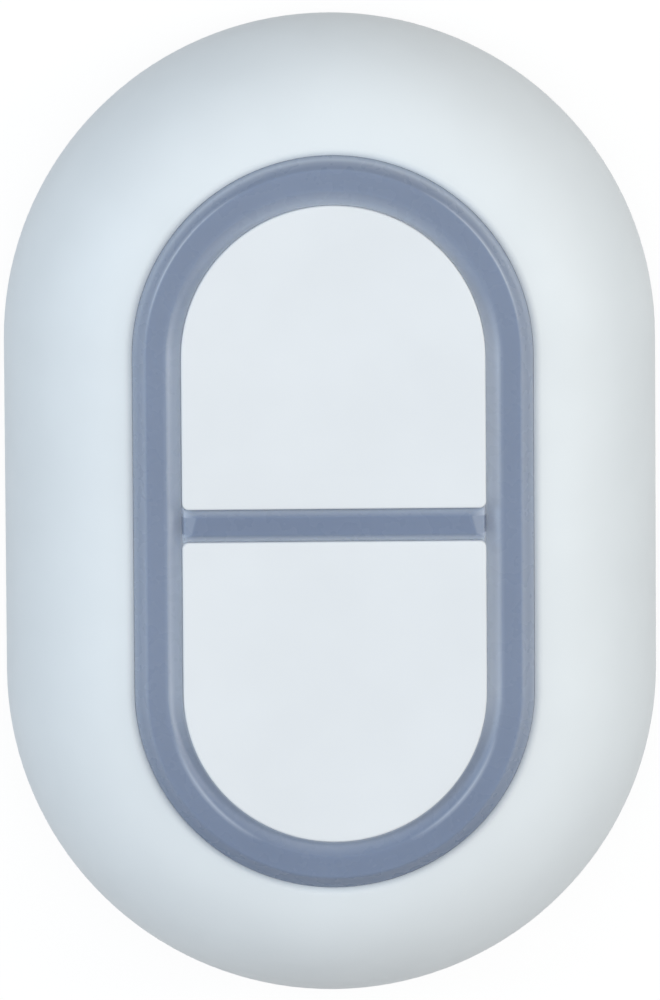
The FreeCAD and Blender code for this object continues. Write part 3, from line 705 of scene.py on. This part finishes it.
def screws():
    """Two pan-head screws with a cross recess in each domed head."""
    seat = HEAD_SINK + HEAD_HEIGHT
    dome = [(radius, HEAD_SINK + rise) for radius, rise in HEAD_DOME]
    rim = arc(HEAD_RADIUS - HEAD_ROUND, HEAD_SINK + HEAD_SIDE, HEAD_ROUND, -80, 0, 8)
    shank = [(HEAD_RADIUS, seat), (SHANK_RADIUS, seat),
             (SHANK_RADIUS, SCREW_TIP - POINT_LENGTH), (POINT_RADIUS, SCREW_TIP)]
    places = [(sign * SCREW_X, sign * SCREW_Y) for sign in (1, -1)]
    piece = new_piece("screws", [capped(circles(dome + rim + shank, x, y)) for x, y in places])
    for x, y in places:
        for turn in RECESS_TURNS:
            carve(piece, new_piece("blade", [capped(blade(x, y, math.radians(turn)))]))
    return piece


def blade(x, y, turn):
    """The two loops of one tapered slot of a cross recess, turned about a screw's axis."""
    cos, sin = math.cos(turn), math.sin(turn)
    loops = []
    for rise, length, width in RECESS:
        corners = ((-length, -width), (length, -width), (length, width), (-length, width))
        loops.append([(x + a * cos - b * sin, y + a * sin + b * cos, HEAD_SINK + rise)
                      for a, b in corners])
    return loops


def eight_sided(reach, z):
    """A long eight-sided outline whose sides lie at one distance from the stadium's spine."""
    tip = reach * (math.sqrt(2) - 1)
    corners = [(reach, HALF + tip), (tip, HALF + reach),
               (-tip, HALF + reach), (-reach, HALF + tip)]
    return [(x, y, z) for x, y in corners + [(-x, -y) for x, y in corners]]


def membrane_sheet():
    """The silicone sheet, with a soft upper edge."""
    steps = ((0, 0), (0, SHEET_THICKNESS - SHEET_SOFT), (SHEET_SOFT, SHEET_THICKNESS))
    loops = [eight_sided(SHEET_REACH - inset, sheet_low.z + rise) for inset, rise in steps]
    return new_piece("membrane_sheet", [capped(loops)])


def membrane():
    """The silicone sheet and the two boots that the keys press."""
    sheet = membrane_sheet()
    boots = []
    base, top = sheet_low.z + SHEET_THICKNESS, sheet_high.z
    rows = [(inset, base + rise) for inset, rise in BOOT_FOOT]
    rows += [(inset, top - drop) for inset, drop in BOOT_HEAD]
    rows += [(BOOT_ROOF_INSET, top - BOOT_WALL), (BOOT_WALL, base)]
    for side, sign in (("upper", 1), ("lower", -1)):
        loops = [rounded_square(BOOT_WIDTH / 2 - inset, sign * SWITCH_OFFSET, z)
                 for inset, z in rows]
        shell = new_piece(f"{side}_boot", [boot_shell(loops)])
        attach(shell, "housing")
        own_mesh(shell)
        boots.append(shell)
    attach(sheet, "housing")
    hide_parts("button_membrane")
    return [sheet] + boots


def rounded_square(half, y, z):
    """A square with rounded corners about a place on the long axis."""
    reach = half - BOOT_CORNER
    points = []
    for cx, cy, start in ((1, 1, 0), (-1, 1, 90), (-1, -1, 180), (1, -1, 270)):
        points += arc(cx * reach, cy * reach, BOOT_CORNER, start, start + 90, BOOT_CORNER_STEPS)
    return [(a, y + b, z) for a, b in points]


def boot_shell(loops):
    """Closes a boot over its top, outside and inside, and joins the two at its foot.

    The last two loops are the inside's, from its top to its foot.
    """
    vertices = [point for loop in loops for point in loop]
    count = len(loops[0])
    outer = loops[:-2]
    faces = bands(outer, False)
    top = (len(outer) - 1) * count
    faces.append(tuple(range(top, top + count)))
    inner_top = len(outer) * count
    inner_foot = inner_top + count
    faces.append(tuple(range(inner_top, inner_top + count)))
    for i in range(count):
        after = (i + 1) % count
        faces.append((inner_top + i, inner_top + after, inner_foot + after, inner_foot + i))
        faces.append((i, after, inner_foot + after, inner_foot + i))
    return vertices, faces


def make_pieces():
    """Builds the pieces that stand for the outer CAD nodes and the soft one."""
    shell = front_shell()
    back = rear_shell()
    fasteners = screws()
    ring = light_ring()
    bar = light_bar()
    upper = key("upper_key_cap", 1)
    lower = key("lower_key_cap", -1)
    roles = (
        (shell, "housing", "front_housing", "shell_plastic"),
        (back, "housing", "rear_cover", "shell_plastic"),
        (fasteners, "housing", "cover_screws", "screw_steel"),
        (ring, "housing", "light_ring", "ring_plastic"),
        (bar, "housing", None, "ring_plastic"),
        (upper, "upper_key", "upper_button", "button_plastic"),
        (lower, "lower_key", "lower_button", "button_plastic"),
    )
    painted = []
    for piece, body, node, slot in roles:
        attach(piece, body)
        if node:
            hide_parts(node)
        painted.append((piece, slot))
    painted += [(piece, "silicone") for piece in membrane()]
    return painted


# Noise: its detail, and its values where a colour and a number reach their ends
NOISE_DETAIL = 2.0
COLOUR_SPAN = (0.35, 0.65)
VALUE_SPAN = (0.3, 0.7)
# Moulded plastic: size of its patches, and how its roughness varies about the given one
PATCH_SIZE = 6.0
PLASTIC_VARIES = 0.04
PLASTIC_SPECULAR = 0.4
# The ring's plastic: how far red, green and blue light travel in it
RING_SPECULAR = 0.28
RING_DEPTH = (0.9, 1.1, 1.5)
RING_SCATTER = 0.3
# Metal: size of its scratches, how its colour and roughness vary, and their depth
SCRATCH_SIZE = 0.4
METAL_MOTTLE = 0.05
METAL_VARIES = 0.08
SCRATCH_DEPTH = 0.001


def shader(name):
    """A new material with its nodes and its Principled shader."""
    material = bpy.data.materials.new(name)
    material.use_nodes = True
    nodes = material.node_tree.nodes
    return material, nodes, material.node_tree.links, nodes["Principled BSDF"]


def noise(nodes, links, size):
    """Noise whose grains are about size millimetres wide on the object."""
    place = nodes.new("ShaderNodeTexCoord")
    texture = nodes.new("ShaderNodeTexNoise")
    texture.inputs["Scale"].default_value = 1 / (size * MM)
    texture.inputs["Detail"].default_value = NOISE_DETAIL
    links.new(place.outputs["Object"], texture.inputs["Vector"])
    return texture


def vary(nodes, links, texture, low, high, target):
    """Feeds a target socket a value or colour that follows the noise."""
    if isinstance(low, tuple):
        ramp = nodes.new("ShaderNodeValToRGB")
        for element, place, colour in zip(ramp.color_ramp.elements, COLOUR_SPAN, (low, high)):
            element.position = place
            element.color = (*colour, 1)
        links.new(texture.outputs["Fac"], ramp.inputs["Fac"])
        links.new(ramp.outputs["Color"], target)
        return
    span = nodes.new("ShaderNodeMapRange")
    span.inputs["From Min"].default_value = VALUE_SPAN[0]
    span.inputs["From Max"].default_value = VALUE_SPAN[1]
    span.inputs["To Min"].default_value = low
    span.inputs["To Max"].default_value = high
    links.new(texture.outputs["Fac"], span.inputs["Value"])
    links.new(span.outputs["Result"], target)


def grain(nodes, links, principled, size, depth):
    """Fine bumps of a size and depth in millimetres."""
    bump = nodes.new("ShaderNodeBump")
    bump.inputs["Distance"].default_value = depth * MM
    bump.inputs["Strength"].default_value = 1.0
    links.new(noise(nodes, links, size).outputs["Fac"], bump.inputs["Height"])
    links.new(bump.outputs["Normal"], principled.inputs["Normal"])


def linear(red, green, blue):
    """Linear colour from sRGB parts of 0 to 255."""
    parts = []
    for part in (red, green, blue):
        share = part / 255
        parts.append(share / 12.92 if share <= 0.04045 else ((share + 0.055) / 1.055) ** 2.4)
    return tuple(parts)


def mottled(colour, amount):
    """A colour a little darker and a little lighter than the given one."""
    return (tuple(part * (1 - amount) for part in colour),
            tuple(min(part * (1 + amount), 1) for part in colour))


def moulded(name, colour, roughness, grain_size=0.25, grain_depth=0.002, amount=0.012):
    """Moulded plastic: faint patches of colour and gloss, and a fine eroded grain."""
    material, nodes, links, principled = shader(name)
    patches = noise(nodes, links, PATCH_SIZE)
    low, high = mottled(colour, amount)
    vary(nodes, links, patches, low, high, principled.inputs["Base Color"])
    fine = noise(nodes, links, grain_size * 4)
    vary(nodes, links, fine, roughness - PLASTIC_VARIES, roughness + PLASTIC_VARIES,
         principled.inputs["Roughness"])
    grain(nodes, links, principled, grain_size, grain_depth)
    principled.inputs["Specular IOR Level"].default_value = PLASTIC_SPECULAR
    return material


def translucent(name, colour, painted_light_colour, roughness):
    """Tinted translucent plastic, with painted light mixed in where the piece's attribute of
    painted light says so.
    """
    material = moulded(name, colour, roughness, grain_size=0.3, grain_depth=0.001, amount=0.02)
    nodes, links = material.node_tree.nodes, material.node_tree.links
    principled = nodes["Principled BSDF"]
    principled.inputs["Specular IOR Level"].default_value = RING_SPECULAR
    principled.inputs["Subsurface Weight"].default_value = RING_SCATTER
    principled.inputs["Subsurface Radius"].default_value = [depth * MM for depth in RING_DEPTH]
    principled.inputs["Subsurface Scale"].default_value = 1.0
    # The attribute of painted light, which mixes a lighter colour into the plastic
    painted_light = nodes.new("ShaderNodeAttribute")
    painted_light.attribute_name = "painted_light"
    painted_light_mix = nodes.new("ShaderNodeMix")
    painted_light_mix.data_type = "RGBA"
    plain_input, painted_light_input, with_painted_light = painted_light_mix.inputs[6], painted_light_mix.inputs[7], painted_light_mix.outputs[2]
    painted_light_input.default_value = (*painted_light_colour, 1)
    source = principled.inputs["Base Color"].links[0].from_socket
    links.new(painted_light.outputs["Fac"], painted_light_mix.inputs["Factor"])
    links.new(source, plain_input)
    links.new(with_painted_light, principled.inputs["Base Color"])
    return material


def metal(name, colour, roughness):
    """Stamped or plated metal with fine scratches."""
    material, nodes, links, principled = shader(name)
    principled.inputs["Metallic"].default_value = 1.0
    patches = noise(nodes, links, SCRATCH_SIZE * 6)
    low, high = mottled(colour, METAL_MOTTLE)
    vary(nodes, links, patches, low, high, principled.inputs["Base Color"])
    fine = noise(nodes, links, SCRATCH_SIZE)
    vary(nodes, links, fine, roughness - METAL_VARIES, roughness + METAL_VARIES,
         principled.inputs["Roughness"])
    grain(nodes, links, principled, SCRATCH_SIZE / 2, SCRATCH_DEPTH)
    return material


def paint(piece, material):
    """Gives a piece one material."""
    piece.data.materials.clear()
    piece.data.materials.append(material)


SHELL_COLOUR = linear(232, 237, 240)
KEY_COLOUR = linear(230, 233, 236)
RING_COLOUR = linear(121, 134, 158)
# Colour that the ring's painted light mixes in
PAINTED_LIGHT_COLOUR = linear(204, 212, 224)


def make_materials(painted):
    """Paints the pieces and every CAD node by its record slot."""
    slots = {
        "shell_plastic": moulded("shell_white", SHELL_COLOUR, 0.5),
        "ring_plastic": translucent("ring_tint", RING_COLOUR, PAINTED_LIGHT_COLOUR, 0.28),
        "button_plastic": moulded("key_white", KEY_COLOUR, 0.45, grain_size=0.3),
        "silicone": moulded("silicone_clear", linear(214, 216, 218), 0.5, 0.4),
        "board_laminate": moulded("board_green", linear(24, 92, 52), 0.35, 0.2),
        "switch_plastic": moulded("nylon_black", linear(32, 33, 36), 0.5),
        "switch_steel": metal("steel_stamped", linear(190, 192, 196), 0.32),
        "tinned_brass": metal("tin_plate", linear(206, 204, 198), 0.35),
        "lamp_resin": moulded("lamp_clear", linear(238, 232, 190), 0.15),
        "chip_epoxy": moulded("epoxy_black", linear(28, 28, 30), 0.55),
        "ceramic": moulded("ceramic_tan", linear(168, 140, 104), 0.45),
        "cell_can": metal("cell_plate", linear(204, 204, 202), 0.28),
        "contact_steel": metal("nickel_strip", linear(200, 198, 190), 0.30),
        "foam": moulded("foam_black", linear(42, 42, 45), 0.9, 0.5, 0.05),
        "screw_steel": metal("zinc_plate", linear(178, 182, 188), 0.34),
    }
    for row in frame["record"]["subparts"]:
        paint(frame["nodes"][row["node"]], slots[row["material_slot"]])
    for piece, slot in painted:
        paint(piece, slots[slot])


# Light: a pale room that is darker towards the horizon, a soft lamp at each side and a weak
# one beyond the upper end. The room is at its full light from ROOM_HEIGHT upwards.
ROOM_COLOUR = (0.96, 0.985, 1.0)
HORIZON_LIGHT = 0.35
ROOM_LIGHT = 0.85
ROOM_HEIGHT = 0.7
# Each lamp: place, diameter, watts and colour
LAMPS = {
    "left_lamp": ((-520, 110, 290), 300, 0.92, (0.64, 0.82, 1.0)),
    "right_lamp": ((520, 110, 290), 300, 0.94, (1.0, 1.0, 0.96)),
    "upper_lamp": ((60, 500, 340), 300, 0.18, (1.0, 1.0, 1.0)),
}


def make_lights():
    """Soft studio light from both sides and the upper end, in a pale room."""
    world = bpy.data.worlds.new("studio")
    bpy.context.scene.world = world
    world.use_nodes = True
    nodes, links = world.node_tree.nodes, world.node_tree.links
    nodes.clear()
    room = nodes.new("ShaderNodeBackground")
    room.inputs["Color"].default_value = (*ROOM_COLOUR, 1)
    place = nodes.new("ShaderNodeTexCoord")
    parts = nodes.new("ShaderNodeSeparateXYZ")
    rise = nodes.new("ShaderNodeMapRange")
    rise.inputs["From Max"].default_value = ROOM_HEIGHT
    rise.inputs["To Min"].default_value = HORIZON_LIGHT
    rise.inputs["To Max"].default_value = ROOM_LIGHT
    links.new(place.outputs["Generated"], parts.inputs["Vector"])
    links.new(parts.outputs["Z"], rise.inputs["Value"])
    links.new(rise.outputs["Result"], room.inputs["Strength"])
    white = nodes.new("ShaderNodeBackground")
    white.inputs["Color"].default_value = (1, 1, 1, 1)
    white.inputs["Strength"].default_value = 1.0
    mix = nodes.new("ShaderNodeMixShader")
    out = nodes.new("ShaderNodeOutputWorld")
    links.new(seen_directly(nodes, links), mix.inputs["Fac"])
    links.new(room.outputs["Background"], mix.inputs[1])
    links.new(white.outputs["Background"], mix.inputs[2])
    links.new(mix.outputs["Shader"], out.inputs["Surface"])
    for name, (place, size, watts, colour) in LAMPS.items():
        data = bpy.data.lights.new(name, "AREA")
        data.shape = "DISK"
        data.size = size * MM
        data.energy = watts
        data.color = colour
        lamp = bpy.data.objects.new(name, data)
        lamp.location = Vector(place) * MM
        lamp.rotation_euler = Vector(place).to_track_quat("Z", "Y").to_euler()
        bpy.context.scene.collection.objects.link(lamp)


def seen_directly(nodes, links):
    """1 for rays from the camera and for mirrored or passed-on rays, and 0 for the rest."""
    path = nodes.new("ShaderNodeLightPath")
    total = path.outputs["Is Camera Ray"]
    for name in ("Is Glossy Ray", "Is Transmission Ray"):
        larger = nodes.new("ShaderNodeMath")
        larger.operation = "MAXIMUM"
        links.new(total, larger.inputs[0])
        links.new(path.outputs[name], larger.inputs[1])
        total = larger.outputs["Value"]
    return total


FLOOR_SIZE = 4000.0
FLOOR_DROP = 0.02
FLOOR_GLOW = 0.90
FLOOR_PAINT = 0.12


def make_floor():
    """A white floor that shows as white and keeps a faint shadow of the object."""
    half = FLOOR_SIZE / 2
    corners = [(-half, -half, 0), (half, -half, 0), (half, half, 0), (-half, half, 0)]
    floor = new_piece("floor", [(corners, [(0, 1, 2, 3)])])
    floor.location.z = -FLOOR_DROP * MM
    material, nodes, links, principled = shader("floor_white")
    nodes.remove(principled)
    paint_shader = nodes.new("ShaderNodeBsdfDiffuse")
    paint_shader.inputs["Color"].default_value = (FLOOR_PAINT, FLOOR_PAINT, FLOOR_PAINT, 1)
    glow = nodes.new("ShaderNodeEmission")
    glow.inputs["Strength"].default_value = FLOOR_GLOW
    both = nodes.new("ShaderNodeAddShader")
    mix = nodes.new("ShaderNodeMixShader")
    links.new(paint_shader.outputs["BSDF"], both.inputs[0])
    links.new(glow.outputs["Emission"], both.inputs[1])
    links.new(seen_directly(nodes, links), mix.inputs["Fac"])
    links.new(paint_shader.outputs["BSDF"], mix.inputs[1])
    links.new(both.outputs["Shader"], mix.inputs[2])
    links.new(mix.outputs["Shader"], nodes["Material Output"].inputs["Surface"])
    paint(floor, material)


make_materials(make_pieces())
make_lights()
make_floor()
bpy.context.scene.view_settings.view_transform = "Standard"
